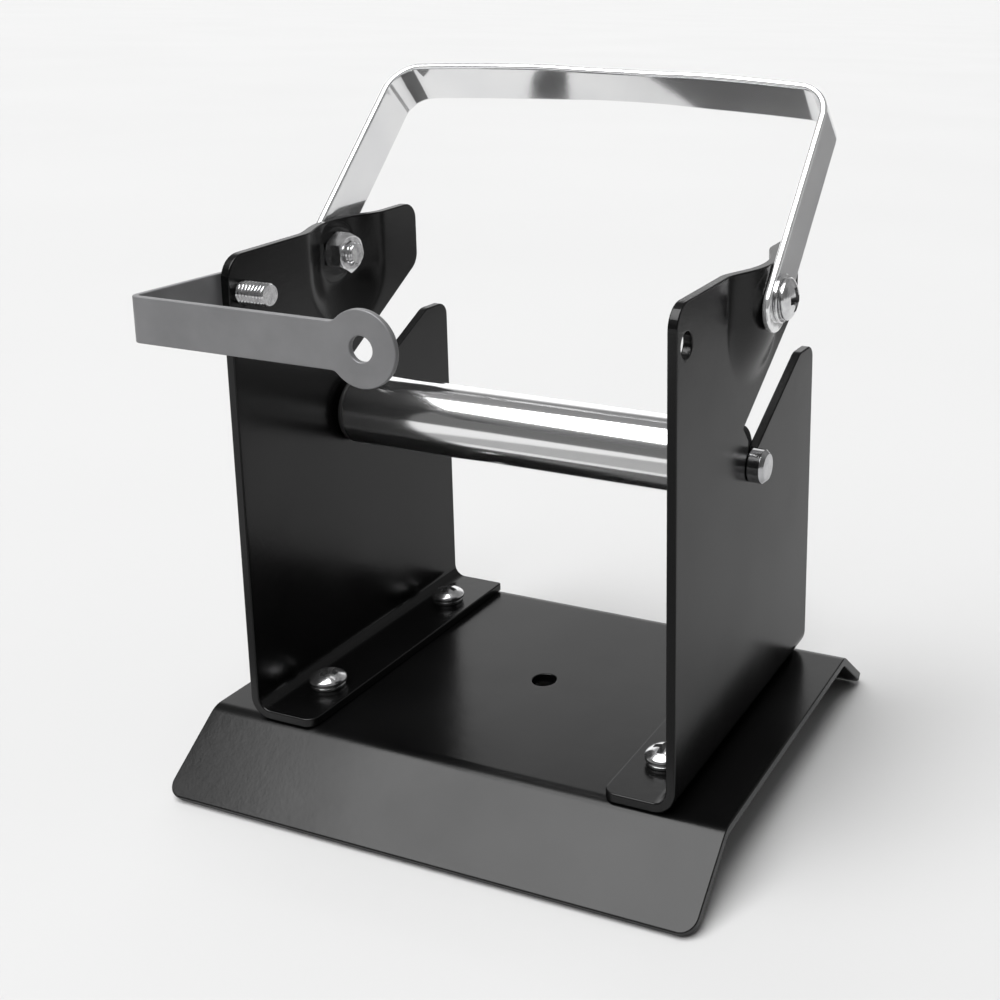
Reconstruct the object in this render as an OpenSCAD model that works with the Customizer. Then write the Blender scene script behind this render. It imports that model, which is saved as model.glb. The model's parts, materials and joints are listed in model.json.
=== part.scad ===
// Desk stand for a spool of wire: bent sheet base, two side plates with open
// slots, a lift-out roller, a swing handle and a wire guide arm.
// Millimetres. X across, Y to the back, Z up. Origin: on the desk, under the
// centre hole of the base.

/* [Sheet] */
// sheet thickness of base and side plates
sheet_t = 2.0; // [1.6:0.1:3]
// outer radius of every sheet bend
bend_r = 4.8; // [3.4:0.1:5]

/* [Base] */
// width of the base across the stand
base_w = 121.2; // [100:0.1:140]
// height of the base top over the desk
base_h = 14.1; // [12:0.1:18]
// half distance between the front and rear bend lines
base_bend_y = 37.0; // [30:0.1:45]
// slope of the skirts below level
skirt_angle = 38.5; // [30:0.5:60]
// corner radius of the skirts
skirt_corner_r = 3.5; // [1:0.1:8]
// radius of the centre hole
base_hole_r = 2.75; // [2:0.05:4]

/* [Side plates] */
// distance over the outer faces of the plates
plate_span = 100.0; // [80:0.5:120]
// depth of a plate front to back
plate_d = 75.2; // [60:0.1:90]
// height of the front top corner
front_top_z = 115.0; // [100:0.1:130]
// height of the rear top corner of the ear
ear_top_z = 117.4; // [100:0.1:130]
// distance of the ear's rear edge behind the centre
ear_y = 26.0; // [20:0.1:34]
// height of the ear's lower rear corner
ear_low_z = 102.8; // [96:0.1:108]
// height of the rear tooth
tooth_z = 90.3; // [80:0.1:95]
// width of the foot flange
flange_w = 15.8; // [12:0.1:24]
// radius of the flange's front corner
flange_front_r = 2.6; // [0.5:0.1:4]
// radius of the flange's rear corner
flange_rear_r = 0.8; // [0.5:0.1:4]

/* [Slot] */
// height of the roller axis
axle_z = 73.4; // [60:0.1:85]
// clearance of the notch round the axle groove
notch_gap = 0.06; // [0.02:0.01:0.1]
// height where the notch opens to the front
notch_front_z = 79.3; // [77:0.1:82]

/* [Pocket] */
// how far the pressed pocket stands out of the plate
pocket_d = 3.9; // [2:0.1:6]
// outer radius of the pressed pocket
pocket_r = 20.3; // [14:0.1:30]
// height of the centre of the pocket's round end
pocket_z = 105.8; // [100:0.1:110]

/* [Handle] */
// height of the handle pivot
pivot_z = 109.4; // [100:0.1:112]
// lean of the handle to the back
handle_lean = 42.8; // [0:0.1:80]
// pivot to the highest point of the top bar
handle_len = 51.9; // [40:0.1:80]
// outer radius of the slight arch of the top bar
bar_arch_r = 650; // [500:10:2000]
// width of the handle strap
handle_w = 10.7; // [8:0.1:14]
// thickness of the handle strap
strap_t = 1.6; // [1:0.1:3]
// outer radius of the handle's corners
handle_bend_r = 8.0; // [4:0.1:14]

/* [Guide] */
// distance of the guide screw in front of the centre
guide_y = 33.3; // [28:0.1:34]
// height of the guide screw and the eye
guide_z = 107.1; // [100:0.1:109]
// distance of the guide's front face ahead of the centre
guide_front = 60.0; // [50:0.1:80]
// height of the guide strap
guide_w = 9.0; // [6:0.1:12]
// thickness of the guide strap
guide_t = 1.2; // [0.8:0.1:2]
// radius of the eye disc
eye_disc_r = 7.2; // [6:0.1:12]
// radius of the eye hole
eye_hole_r = 2.4; // [1:0.1:4]
// radius of the fillets where the strap meets the disc
eye_fillet_r = 2.0; // [0.5:0.1:4]

/* [Roller] */
// radius of the roller tube
roller_r = 8.1; // [6:0.1:12]
// length of the roller tube
roller_len = 92.4; // [70:0.1:94]
// wall of the roller tube
roller_wall = 1.5; // [1:0.1:3]
// radius of the axle
axle_r = 3.6; // [2.5:0.1:4]
// radius of the axle at the bottom of its grooves
groove_r = 2.0; // [1.5:0.1:3]
// length of the axle
axle_len = 107.2; // [100:0.1:112]
// chamfer at the axle's ends
axle_chamfer = 0.8; // [0.2:0.1:1.2]

/* [Base screws] */
// distance of the base screws from the centre, across
screw_x = 41.1; // [39:0.1:43]
// distance of the base screws from the centre, front to back
screw_y = 23.4; // [10:0.1:30]
// length of the base screws under the head
base_screw_l = 11; // [9:0.5:12]
// radius of the base screws' heads
base_head_r = 4.0; // [3.5:0.1:4.4]
// height of the base screws' heads
base_head_h = 2.7; // [2.2:0.1:3]
// outer radius of the base washers
base_washer_r = 3.7; // [3:0.1:4.4]
// thickness of the base washers
base_washer_t = 0.9; // [0.5:0.1:1.2]
// width over flats of the base nuts
base_nut_flats = 7.0; // [6.5:0.1:7]
// height of the base nuts
base_nut_h = 3.2; // [2.4:0.1:3.2]

/* [Pivot and guide screws] */
// radius of the pivot and guide screws' heads
head_r = 4.4; // [4:0.1:5]
// height of the pivot screws' heads
pivot_head_h = 2.7; // [2:0.1:3.2]
// height of the guide screw's head
guide_head_h = 2.2; // [1.8:0.1:3]
// outer radius of the pivot washers
pivot_washer_r = 5.0; // [4.5:0.1:5.5]
// thickness of the pivot washers
pivot_washer_t = 0.8; // [0.5:0.1:1.2]
// width over flats of the pivot nuts
pivot_nut_flats = 8.0; // [7.5:0.1:8]
// height of the pivot nuts
pivot_nut_h = 4.0; // [3:0.1:4]
// radius of the flat seat pressed in the pocket for nut and washer
pivot_seat_r = 5.8; // [5.5:0.1:6.5]

/* [Hidden] */
$fn = 64;
half_span = plate_span / 2;
plate_in = half_span - sheet_t;
half_d = plate_d / 2;
notch_r = groove_r + notch_gap;
foot_z = base_h + sheet_t;
seat_x = half_span + pocket_d + 0.05;
strap_in = seat_x + 0.05;
strap_out = strap_in + strap_t;
pivot_seat_t = 2.8;
nut_seat_x = half_span + pocket_d - pivot_seat_t;
m5_r = 2.5;
m4_r = 2.0;
m4_hole_r = 2.25;
running = 0.05;
thread_past_nut = 1.6;
drill_from = 40;
drill_to = 60;
eps = 0.01;

// unit vector from a to b, and helpers for rounded corners
function unit(a, b) = (b - a) / norm(b - a);
function half_turn(p, a, b) = acos(unit(p, a) * unit(p, b)) / 2;
function mid_dir(p, a, b) = unit([0, 0], unit(p, a) + unit(p, b));

// the piece between a sharp corner p and a circle of radius r in it
module corner_sliver(p, a, b, r) {
    h = half_turn(p, a, b);
    run = r / tan(h);
    difference() {
        polygon([p, p + unit(p, a) * run, p + unit(p, b) * run]);
        translate(p + mid_dir(p, a, b) * r / sin(h)) circle(r);
    }
}

// bend of a sheet: ring sector from angle a0 to a1, less than 180 apart
module bend_sector(r_out, t, a0, a1) {
    far = r_out * 2;
    am = (a0 + a1) / 2;
    intersection() {
        difference() {
            circle(r_out);
            circle(r_out - t);
        }
        polygon([
            [0, 0],
            [far * cos(a0), far * sin(a0)],
            [far * cos(am), far * sin(am)],
            [far * cos(a1), far * sin(a1)]
        ]);
    }
}

// flat piece drawn in Y and Z, standing from x0 to x0 + t
module stand_yz(x0, t) {
    translate([x0, 0, 0]) rotate([90, 0, 90]) linear_extrude(t) children();
}

// flat piece drawn in X and Z, from y0 to y0 + t
module stand_xz(y0, t) {
    translate([0, y0 + t, 0]) rotate([90, 0, 0]) linear_extrude(t) children();
}

// cylinder along X from x0 to x1
module rod_x(x0, x1, r) {
    translate([x0, 0, 0]) rotate([0, 90, 0]) cylinder(r = r, h = x1 - x0);
}

// pan head with a cross recess; seat at z = 0, dome up
module pan_head(r, h, slot_l) {
    dome = (r * r + h * h) / (2 * h) * 1.35;
    difference() {
        intersection() {
            cylinder(r = r, h = h);
            translate([0, 0, h - dome]) sphere(dome);
        }
        for (turn = [0, 90])
            rotate([0, 0, turn + 45])
                translate([-slot_l / 2, -slot_l / 9, h - 1.5])
                    cube([slot_l, slot_l / 4.5, 2]);
    }
}

// machine screw: pan head up from z = 0, shank down
module pan_screw(r, shank_l, head_r, head_h) {
    pan_head(head_r, head_h, head_r * 1.25);
    translate([0, 0, -shank_l]) cylinder(r = r, h = shank_l + eps);
}

module flat_ring(r_out, r_in, h) {
    difference() {
        cylinder(r = r_out, h = h);
        translate([0, 0, -1]) cylinder(r = r_in, h = h + 2);
    }
}

module hex_nut(flats, bore_r, h) {
    across = flats / cos(30) / 2;
    difference() {
        intersection() {
            cylinder(r = across, h = h, $fn = 6);
            translate([0, 0, h / 2]) sphere(norm([across * 0.965, h / 2]));
        }
        translate([0, 0, -1]) cylinder(r = bore_r, h = h + 2);
    }
}

// ---- base ----
skirt_dir = [cos(skirt_angle), -sin(skirt_angle)];
skirt_in = [-sin(skirt_angle), -cos(skirt_angle)];
top_out = [base_bend_y, base_h];
top_in = [base_bend_y - sheet_t * tan(skirt_angle / 2), base_h - sheet_t];
tip_in = top_in + skirt_dir * top_in[1] / sin(skirt_angle);
tip_out = tip_in - skirt_in * sheet_t;
skirt_l = norm(tip_out - top_out);

function flip(p) = [-p[0], p[1]];

// bent section in Y and Z: outside shape less inside shape
module base_section() {
    low_in = tip_in + skirt_dir * 5;
    difference() {
        polygon([top_out, tip_out, tip_in, flip(tip_in), flip(tip_out), flip(top_out)]);
        corner_sliver(top_out, tip_out, flip(top_out), bend_r);
        corner_sliver(flip(top_out), top_out, flip(tip_out), bend_r);
        difference() {
            polygon([top_in, low_in, flip(low_in), flip(top_in)]);
            corner_sliver(top_in, low_in, flip(top_in), bend_r - sheet_t);
            corner_sliver(flip(top_in), top_in, flip(low_in), bend_r - sheet_t);
        }
    }
}

// what the rounded corners of one skirt take away
module skirt_corners() {
    translate([0, top_out[0], top_out[1]]) rotate([-skirt_angle, 0, 0])
        translate([0, 0, -sheet_t - 1]) linear_extrude(sheet_t + 2)
            for (side = [-1, 1])
                corner_sliver([side * base_w / 2, skirt_l], [side * base_w / 2, 0],
                    [0, skirt_l], skirt_corner_r);
}

module base_plate() {
    color([0.09, 0.09, 0.10]) difference() {
        stand_yz(-base_w / 2, base_w) base_section();
        for (side = [0, 1])
            mirror([0, side, 0]) skirt_corners();
        cylinder(r = base_hole_r, h = 40);
        for (sx = [-1, 1])
            for (sy = [-1, 1])
                translate([sx * screw_x, sy * screw_y, 0]) cylinder(r = m4_hole_r, h = 40);
    }
}

// ---- side plates ----
axle_p = [0, axle_z];
lip = [3.2, axle_z + 2.8];
lip_d = norm(lip - axle_p);
lip_a = atan2(lip[1] - axle_p[1], lip[0] - axle_p[0]) - acos(notch_r / lip_d);
lip_t = axle_p + notch_r * [cos(lip_a), sin(lip_a)];
jaw = [-4.9, notch_front_z + 3.4];
wall_z = base_h + bend_r;
p_foot_f = [-half_d, wall_z];
p_foot_r = [half_d, wall_z];
p_tooth_r = [half_d, tooth_z];
p_tooth_f = [29.0, tooth_z];
p_ear_low = [ear_y, ear_low_z];
p_ear_top = [ear_y, ear_top_z];
p_front = [-half_d, front_top_z];

module plate_outline() {
    difference() {
        polygon([
            p_foot_f, p_foot_r, p_tooth_r, p_tooth_f, lip, lip_t, axle_p,
            axle_p - [notch_r, 0], [-notch_r, notch_front_z], jaw,
            p_ear_low, p_ear_top, p_front
        ]);
        translate(axle_p) circle(notch_r);
        corner_sliver(p_tooth_r, p_foot_r, p_tooth_f, 3.2);
        corner_sliver(p_tooth_f, p_tooth_r, lip, 4.0);
        corner_sliver(p_ear_low, jaw, p_ear_top, 4.5);
        corner_sliver(p_ear_top, p_ear_low, p_front, 3.8);
        corner_sliver(p_front, p_ear_top, p_foot_f, 5.0);
    }
}

// pressed pocket: upright cylinder closed below by a ball of the same radius
module pocket_solid(r) {
    past_top = 20;
    translate([half_span + pocket_d - pocket_r, 0, pocket_z]) {
        cylinder(r = r, h = ear_top_z - pocket_z + past_top);
        sphere(r);
    }
}

// flat round seat at the handle pivot, from the nut's side to the strap's side
module pivot_seat() {
    translate([0, 0, pivot_z]) rod_x(nut_seat_x, seat_x, pivot_seat_r);
}

module plate_flange() {
    x0 = half_span - flange_w;
    x1 = half_span - bend_r;
    translate([0, 0, base_h]) linear_extrude(sheet_t) difference() {
        translate([x0, -half_d]) square([x1 - x0, plate_d]);
        for (side = [-1, 1])
            corner_sliver([x0, side * half_d], [x1, side * half_d], [x0, 0],
                side < 0 ? flange_front_r : flange_rear_r);
    }
}

module plate_body() {
    difference() {
        union() {
            stand_yz(plate_in, sheet_t) plate_outline();
            intersection() {
                stand_yz(plate_in, sheet_t + pocket_d + 1) plate_outline();
                pocket_solid(pocket_r);
            }
            pivot_seat();
            plate_flange();
            stand_xz(-half_d, plate_d)
                translate([half_span - bend_r, base_h + bend_r])
                    bend_sector(bend_r, sheet_t, 270, 360);
        }
        difference() {
            pocket_solid(pocket_r - sheet_t);
            pivot_seat();
        }
        translate([0, 0, pivot_z]) {
            rod_x(drill_from, nut_seat_x, pivot_seat_r);
            rod_x(drill_from, drill_to, m5_r + running);
        }
        translate([0, -guide_y, guide_z]) rod_x(drill_from, drill_to, m5_r);
        for (sy = [-1, 1])
            translate([screw_x, sy * screw_y, base_h - 1])
                cylinder(r = m4_hole_r, h = sheet_t + 2);
    }
}

module side_plate_right() {
    color([0.10, 0.10, 0.11]) plate_body();
}

module side_plate_left() {
    color([0.10, 0.10, 0.11]) mirror([1, 0, 0]) plate_body();
}

// ---- base fasteners ----
module at_base_screw(sx, sy) {
    translate([sx * screw_x, sy * screw_y, 0]) children();
}

module base_screw() {
    color([0.78, 0.79, 0.80])
        translate([0, 0, foot_z + base_washer_t])
            pan_screw(m4_r, base_screw_l, base_head_r, base_head_h);
}

module base_washer() {
    color([0.70, 0.71, 0.73])
        translate([0, 0, foot_z]) flat_ring(base_washer_r, m4_r + 0.1, base_washer_t);
}

module base_nut() {
    color([0.74, 0.75, 0.77])
        translate([0, 0, base_h - sheet_t - base_nut_h])
            hex_nut(base_nut_flats, m4_r, base_nut_h);
}

module base_screw_fl() { at_base_screw(-1, -1) base_screw(); }
module base_screw_fr() { at_base_screw(1, -1) base_screw(); }
module base_screw_rl() { at_base_screw(-1, 1) base_screw(); }
module base_screw_rr() { at_base_screw(1, 1) base_screw(); }
module base_washer_fl() { at_base_screw(-1, -1) base_washer(); }
module base_washer_fr() { at_base_screw(1, -1) base_washer(); }
module base_washer_rl() { at_base_screw(-1, 1) base_washer(); }
module base_washer_rr() { at_base_screw(1, 1) base_washer(); }
module base_nut_fl() { at_base_screw(-1, -1) base_nut(); }
module base_nut_fr() { at_base_screw(1, -1) base_nut(); }
module base_nut_rl() { at_base_screw(-1, 1) base_nut(); }
module base_nut_rr() { at_base_screw(1, 1) base_nut(); }

// ---- handle ----
tail = 2.0;
corner_x = strap_out - handle_bend_r;
arch_c = handle_len - bar_arch_r;
arch_half = asin(corner_x / (bar_arch_r - handle_bend_r));
corner_z = arch_c + (bar_arch_r - handle_bend_r) * cos(arch_half);

module handle_arm() {
    stand_yz(strap_in, strap_t) difference() {
        union() {
            translate([-handle_w / 2, -tail]) square([handle_w, corner_z + tail]);
            translate([0, -tail]) circle(handle_w / 2);
        }
        circle(m5_r + running);
    }
}

module handle_corner() {
    stand_xz(-handle_w / 2, handle_w) translate([corner_x, corner_z])
        bend_sector(handle_bend_r, strap_t, 0, 90 - arch_half);
}

module handle_bar() {
    stand_xz(-handle_w / 2, handle_w) translate([0, arch_c])
        bend_sector(bar_arch_r, strap_t, 90 - arch_half, 90 + arch_half);
}

module handle() {
    color([0.86, 0.87, 0.88])
        translate([0, 0, pivot_z]) rotate([-handle_lean, 0, 0]) {
            for (side = [0, 1])
                mirror([side, 0, 0]) {
                    handle_arm();
                    handle_corner();
                }
            handle_bar();
        }
}

// pivot hardware, right side; screws in from outside, nut in the pocket
module pivot_at() {
    translate([0, 0, pivot_z]) children();
}

module handle_screw_part() {
    head_x = strap_out + running + pivot_washer_t;
    shank_l = head_x - nut_seat_x + pivot_nut_h + thread_past_nut;
    color([0.78, 0.79, 0.80])
        pivot_at() translate([head_x, 0, 0]) rotate([0, 90, 0])
            pan_screw(m5_r, shank_l, head_r, pivot_head_h);
}

module handle_washer_part() {
    color([0.70, 0.71, 0.73])
        pivot_at() translate([strap_out + running, 0, 0]) rotate([0, 90, 0])
            flat_ring(pivot_washer_r, m5_r + 0.1, pivot_washer_t);
}

module handle_nut_part() {
    color([0.74, 0.75, 0.77])
        pivot_at() translate([nut_seat_x - pivot_nut_h, 0, 0]) rotate([0, 90, 0])
            hex_nut(pivot_nut_flats, m5_r, pivot_nut_h);
}

module handle_screw_right() { handle_screw_part(); }
module handle_screw_left() { mirror([1, 0, 0]) handle_screw_part(); }
module handle_washer_right() { handle_washer_part(); }
module handle_washer_left() { mirror([1, 0, 0]) handle_washer_part(); }
module handle_nut_right() { handle_nut_part(); }
module handle_nut_left() { mirror([1, 0, 0]) handle_nut_part(); }

// ---- wire guide ----
// fillet between the lower edge of the strap and the disc
module eye_fillet() {
    low = guide_w / 2;
    far = eye_disc_r + eye_fillet_r;
    run = sqrt(far * far - (low + eye_fillet_r) * (low + eye_fillet_r));
    difference() {
        polygon([[0, 0], [-run, -low], [-run, -low - eye_fillet_r]]);
        translate([-run, -low - eye_fillet_r]) circle(eye_fillet_r);
    }
}

module guide_arm() {
    x_in = -half_span - running;
    x_out = x_in - guide_t;
    turn_r = 2.0;
    color([0.52, 0.53, 0.54])
        translate([0, 0, guide_z]) {
            stand_yz(x_out, guide_t) difference() {
                union() {
                    translate([-guide_front + turn_r, -guide_w / 2])
                        square([guide_front - turn_r - guide_y, guide_w]);
                    translate([-guide_y, 0]) circle(guide_w / 2);
                }
                translate([-guide_y, 0]) circle(m5_r + running);
            }
            translate([x_out + turn_r, -guide_front + turn_r, -guide_w / 2])
                linear_extrude(guide_w) bend_sector(turn_r, guide_t, 180, 270);
            stand_xz(-guide_front, guide_t) difference() {
                union() {
                    translate([x_out + turn_r, -guide_w / 2])
                        square([-x_out - turn_r, guide_w]);
                    circle(eye_disc_r);
                    for (side = [0, 1])
                        mirror([0, side, 0]) eye_fillet();
                }
                circle(eye_hole_r);
            }
        }
}

module guide_screw() {
    head_x = half_span + running + guide_t + running;
    end_x = plate_in - 6.4;
    color([0.78, 0.79, 0.80])
        translate([-head_x, -guide_y, guide_z]) rotate([0, -90, 0])
            pan_screw(m5_r, head_x - end_x, head_r, guide_head_h);
}

// ---- roller ----
module axle_rod() {
    end = axle_len / 2;
    groove_out = half_span + 0.15;
    groove_in = plate_in - 0.15;
    color([0.80, 0.81, 0.82])
        translate([0, 0, axle_z]) rotate([0, 90, 0]) rotate_extrude()
            for (side = [0, 1])
                mirror([0, side])
                    polygon([
                        [0, end], [axle_r - axle_chamfer, end],
                        [axle_r, end - axle_chamfer], [axle_r, groove_out],
                        [groove_r, groove_out], [groove_r, groove_in],
                        [axle_r, groove_in], [axle_r, -eps], [0, -eps]
                    ]);
}

module roller_tube() {
    color([0.87, 0.88, 0.89])
        translate([-roller_len / 2, 0, axle_z]) rotate([0, 90, 0])
            flat_ring(roller_r, roller_r - roller_wall, roller_len);
}

// end plug: collar over the tube end and a spigot inside it
module roller_cap() {
    tube_end = roller_len / 2;
    spigot_r = roller_r - roller_wall;
    spigot_l = 8;
    collar_t = 0.9;
    color([0.05, 0.05, 0.05])
        translate([0, 0, axle_z]) difference() {
            union() {
                rod_x(tube_end, tube_end + collar_t, roller_r - 0.2);
                rod_x(tube_end - spigot_l, tube_end + eps, spigot_r);
            }
            rod_x(tube_end - spigot_l - 1, tube_end + collar_t + 1, axle_r + running);
        }
}

module roller_cap_right() { roller_cap(); }
module roller_cap_left() { mirror([1, 0, 0]) roller_cap(); }

base_plate();
side_plate_left();
side_plate_right();
base_screw_fl();
base_screw_fr();
base_screw_rl();
base_screw_rr();
base_washer_fl();
base_washer_fr();
base_washer_rl();
base_washer_rr();
base_nut_fl();
base_nut_fr();
base_nut_rl();
base_nut_rr();
handle();
handle_screw_left();
handle_screw_right();
handle_washer_left();
handle_washer_right();
handle_nut_left();
handle_nut_right();
guide_arm();
guide_screw();
axle_rod();
roller_tube();
roller_cap_left();
roller_cap_right();
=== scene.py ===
import json
import math

import bmesh
import bpy
from mathutils import Matrix, Vector


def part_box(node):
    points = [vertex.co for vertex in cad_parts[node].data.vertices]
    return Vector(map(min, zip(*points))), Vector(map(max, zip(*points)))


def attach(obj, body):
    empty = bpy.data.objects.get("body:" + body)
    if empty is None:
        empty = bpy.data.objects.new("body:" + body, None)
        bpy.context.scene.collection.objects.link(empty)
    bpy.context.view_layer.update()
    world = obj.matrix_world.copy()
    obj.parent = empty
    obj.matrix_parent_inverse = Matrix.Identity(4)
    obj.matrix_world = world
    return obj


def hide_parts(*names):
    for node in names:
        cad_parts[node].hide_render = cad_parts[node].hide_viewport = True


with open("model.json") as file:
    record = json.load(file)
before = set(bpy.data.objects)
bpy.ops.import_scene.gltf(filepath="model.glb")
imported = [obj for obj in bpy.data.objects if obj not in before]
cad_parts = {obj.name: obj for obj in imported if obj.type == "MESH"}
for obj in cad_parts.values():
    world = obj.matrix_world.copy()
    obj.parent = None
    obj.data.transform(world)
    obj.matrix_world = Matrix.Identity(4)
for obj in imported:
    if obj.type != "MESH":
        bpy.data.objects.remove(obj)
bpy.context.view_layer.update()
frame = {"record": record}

# ---------------------------------------------------------------- sizes, in metres, from the frame

MM = 0.001
MOUNTS = {m["name"]: m for m in frame["record"]["mounts"]}
JOINTS = {j["name"]: j for j in frame["record"]["behaviour"]["joints"]}


def mount_size(name, key):
    """One dimension of a mount of the record, in metres."""
    return MOUNTS[name]["dims"][key] * MM


def span(node, axis):
    """Lowest and highest value of a CAD node along one axis."""
    low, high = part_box(node)
    return low[axis], high[axis]


X, Y, Z = 0, 1, 2
SHEET = mount_size("base_hole", "length_mm")
HALF_SPAN = MOUNTS["guide_thread"]["pos_m"][X] + SHEET / 2
PLATE_IN = HALF_SPAN - SHEET
SHEET_BEND = 4.8 * MM
CUT_EDGE = 0.3 * MM
STRAP_EDGE = 0.62 * MM
GUIDE_EDGE = 0.25 * MM

BASE_TOP = span("base_plate", Z)[1]
BASE_HALF_W = span("base_plate", X)[1]
BASE_TIP_Y = span("base_plate", Y)[1]
BASE_HOLE_R = mount_size("base_hole", "r_mm")
SKIRT_ANGLE = math.radians(38.5)
SKIRT_CORNER = 3.5 * MM

PLATE_HALF_D = span("side_plate_right", Y)[1]
EAR_TOP = span("side_plate_right", Z)[1]
POCKET_SEAT = span("side_plate_right", X)[1]
FLANGE_IN = span("side_plate_right", X)[0]
FRONT_TOP = EAR_TOP - 2.4 * MM
EAR_Y = 26.0 * MM
EAR_LOW = EAR_TOP - 14.6 * MM
TOOTH_TOP = EAR_TOP - 27.1 * MM
TOOTH_Y = 29.0 * MM
FRONT_TOP_CORNER = 5.0 * MM
FLANGE_FRONT_CORNER = 2.6 * MM
FLANGE_REAR_CORNER = 0.8 * MM
TOOTH_REAR_CORNER = 3.2 * MM
TOOTH_TIP_CORNER = 4.0 * MM
EAR_LOW_CORNER = 4.5 * MM
EAR_TOP_CORNER = 3.8 * MM

AXLE_Z = MOUNTS["roller"]["pos_m"][Z]
AXLE_R = span("axle_rod", Z)[1] - AXLE_Z
NOTCH_R = 2.06 * MM
LIP = (3.2 * MM, AXLE_Z + 2.8 * MM)
NOTCH_TOP = (-NOTCH_R, AXLE_Z + 5.9 * MM)
SLOT_START = (-4.9 * MM, AXLE_Z + 9.3 * MM)

POCKET_R = 20.3 * MM
POCKET_OUT = 3.9 * MM
POCKET_Z = EAR_TOP - 11.6 * MM
POCKET_BLEND = 2.4 * MM
POCKET_REACH = 18.4 * MM
POCKET_FOOT = 86.0 * MM
PAD_R = 5.6 * MM
PAD_END = 6.8 * MM
NUT_SEAT = HALF_SPAN + 1.1 * MM

PIVOT_Z = JOINTS["handle_swing"]["pos_m"][Z]
PIVOT_HOLE = 2.55 * MM
STRAP_OUT = span("handle", X)[1]
STRAP = STRAP_OUT - POCKET_SEAT - 0.05 * MM
HANDLE_W = 10.7 * MM
HANDLE_BEND = 8.0 * MM
HANDLE_LEAN = math.radians(42.8)
HANDLE_LEN = 51.9 * MM
HANDLE_ARCH = 650 * MM
HANDLE_TWIST = math.radians(5.2)
TWIST_START = 4 * MM
TWIST_GROWTH = 15.5 * MM
HANDLE_TAIL = 2.0 * MM

GUIDE_Y = MOUNTS["guide_thread"]["pos_m"][Y]
GUIDE_Z = MOUNTS["guide_thread"]["pos_m"][Z]
GUIDE_FRONT = span("guide_arm", Y)[0]
GUIDE_OUT = span("guide_arm", X)[0]
GUIDE_T = mount_size("wire_eye", "length_mm")
GUIDE_W = 9.0 * MM
GUIDE_BEND = 2.0 * MM
EYE_DISC = span("guide_arm", Z)[1] - GUIDE_Z
EYE_HOLE = mount_size("wire_eye", "r_mm")
EYE_FILLET = 2.0 * MM

M4 = 2.0 * MM
M5 = 2.5 * MM
M4_PITCH = 0.7 * MM
M5_PITCH = 0.8 * MM
M4_HOLE = M4 + 0.25 * MM
CROSS_DEPTH = 2.1 * MM
GUIDE_HEAD_H = 2.2 * MM
WASHER_GAP = 0.1 * MM
SCREW_X, SCREW_Y = [sum(span("base_screw_rr", axis)) / 2 for axis in (X, Y)]

# ---------------------------------------------------------------- outlines


def arc(centre, radius, start, end, steps):
    """Points on a circle from angle start to end, both included, in radians."""
    turn = [start + (end - start) * i / steps for i in range(steps + 1)]
    return [(centre[0] + radius * math.cos(a), centre[1] + radius * math.sin(a)) for a in turn]


def corner_arc(before, here, after, radius, steps=None):
    """Arc that rounds the corner at here, from the side of before to the side of after."""
    here = Vector(here)
    back = Vector(before) - here
    ahead = Vector(after) - here
    half = back.angle(ahead) / 2
    run = min(radius / math.tan(half), back.length * 0.48, ahead.length * 0.48)
    size = run * math.tan(half)
    centre = here + (back.normalized() + ahead.normalized()).normalized() * size / math.sin(half)
    first = here + back.normalized() * run - centre
    last = here + ahead.normalized() * run - centre
    start = math.atan2(first.y, first.x)
    turn = -first.angle_signed(last)
    if steps is None:
        steps = max(2, math.ceil(abs(turn) / math.radians(9)))
    return arc(centre, size, start, start + turn, steps)


def rounded(corners):
    """Closed outline through (u, v, radius) corners, each rounded with an arc."""
    points = []
    for i, (u, v, radius) in enumerate(corners):
        if radius == 0:
            points.append((u, v))
            continue
        before, after = corners[i - 1][:2], corners[(i + 1) % len(corners)][:2]
        points += corner_arc(before, (u, v), after, radius)
    return points


def hole(centre, radius, steps=40):
    """Closed circle, as a hole in a sheet."""
    return arc(centre, radius, 0, math.tau * (steps - 1) / steps, steps - 1)


# ---------------------------------------------------------------- mesh helpers


def flat_sheet(outline, holes, thickness, edge):
    """Flat sheet as a bmesh: w from 0 on the front face to thickness, cut edges rounded.

    The outline is filled as a curve in millimetres, then turned to metres.
    """
    curve = bpy.data.curves.new("flat", "CURVE")
    curve.dimensions = "2D"
    curve.fill_mode = "BOTH"
    curve.bevel_depth = edge / MM
    curve.bevel_resolution = 3
    curve.offset = -edge / MM
    curve.extrude = (thickness / 2 - edge) / MM
    for loop in [outline] + holes:
        spline = curve.splines.new("POLY")
        spline.points.add(len(loop) - 1)
        for point, (u, v) in zip(spline.points, loop):
            point.co = (u / MM, v / MM, 0, 1)
        spline.use_cyclic_u = True
    holder = bpy.data.objects.new("flat", curve)
    bpy.context.scene.collection.objects.link(holder)
    bpy.context.view_layer.update()
    depsgraph = bpy.context.evaluated_depsgraph_get()
    mesh = bpy.data.meshes.new_from_object(holder.evaluated_get(depsgraph))
    bm = bmesh.new()
    bm.from_mesh(mesh)
    bpy.data.objects.remove(holder)
    bpy.data.curves.remove(curve)
    bpy.data.meshes.remove(mesh)
    bmesh.ops.remove_doubles(bm, verts=bm.verts, dist=0.002)
    for vert in bm.verts:
        vert.co = Vector((vert.co.x * MM, vert.co.y * MM, thickness / 2 - vert.co.z * MM))
    return bm


def cut_at(bm, axis, places):
    """Adds edges across the sheet where it will bend or be pressed."""
    normal = Vector((0, 0, 0))
    normal[axis] = 1
    for place in places:
        geometry = bm.verts[:] + bm.edges[:] + bm.faces[:]
        bmesh.ops.bisect_plane(bm, geom=geometry, dist=1e-7, plane_co=normal * place, plane_no=normal)


def steps_between(start, end, count):
    """Evenly spaced numbers from start to end, both included."""
    return [start + (end - start) * i / count for i in range(count + 1)]


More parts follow.
